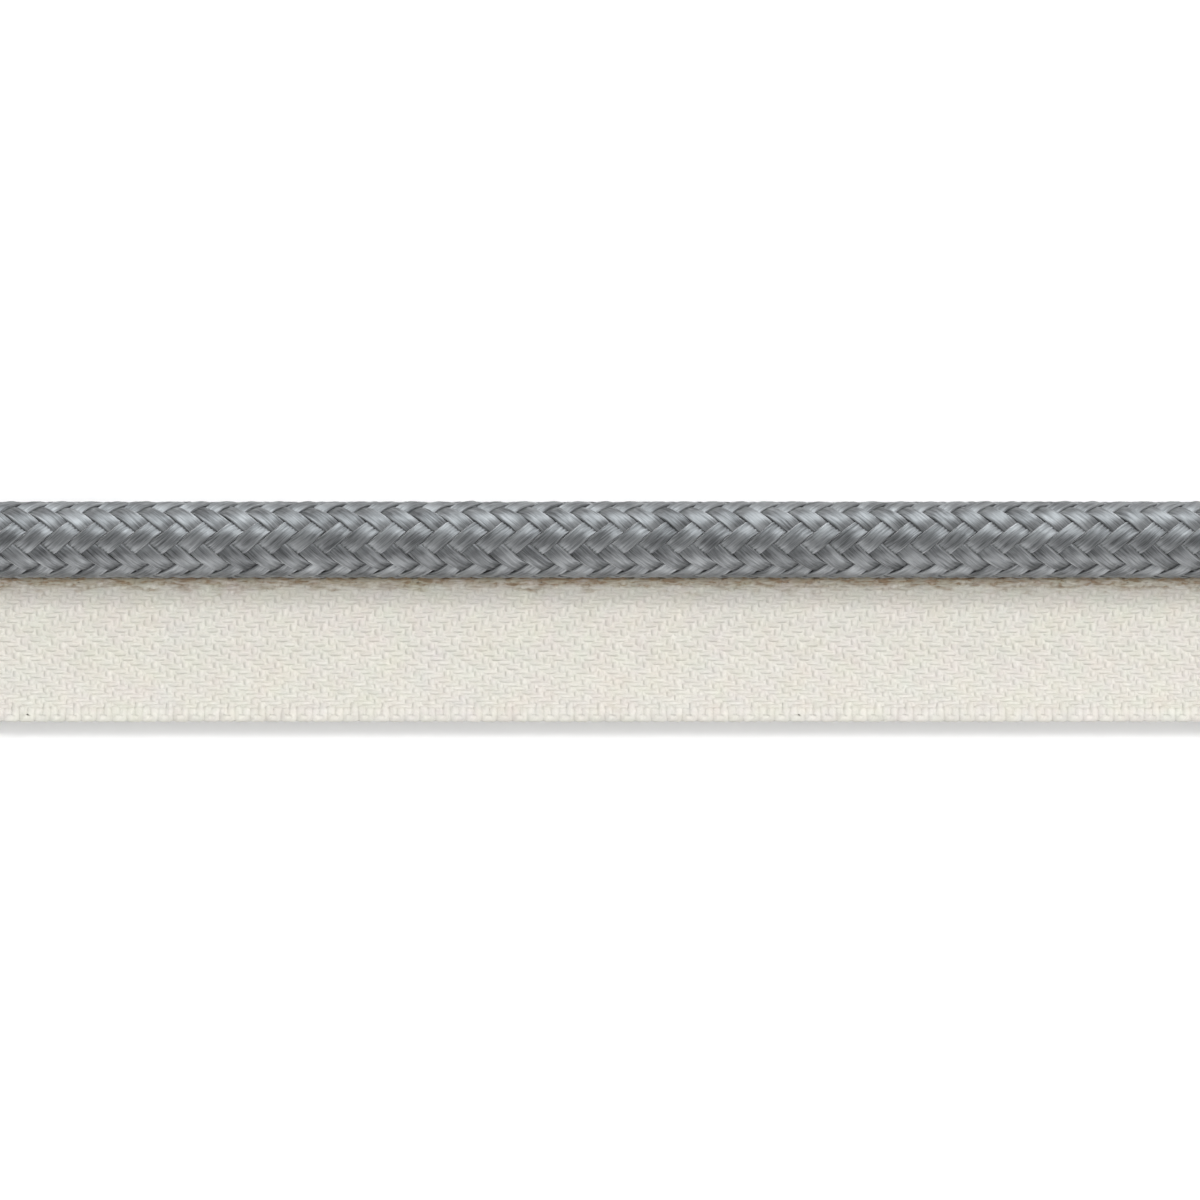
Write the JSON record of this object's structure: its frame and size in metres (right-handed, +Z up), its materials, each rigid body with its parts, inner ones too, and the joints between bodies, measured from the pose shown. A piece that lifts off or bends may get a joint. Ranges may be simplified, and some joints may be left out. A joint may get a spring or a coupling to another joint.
{
  "type": "cut length of braided lip piping trim",
  "caption": "Straight cut length of lip piping: a round braided grey cord along one edge of a flat cream herringbone tape that is sewn into a seam.",
  "frame": {"origin": "on the surface that the trim lies on, under the middle of its length and of its overall width", "axes": "+X along the trim, +Y across it from the tape's outer edge towards the cord, +Z up out of the trim's face"},
  "size_m": [0.15, 0.019, 0.0066],
  "materials": {
    "grey_cord": "satin",
    "cream_tape": "matte"
  },
  "bodies": {
    "root": {"braided_cord": "grey_cord", "twill_tape": "cream_tape"}
  },
  "joints": []
}
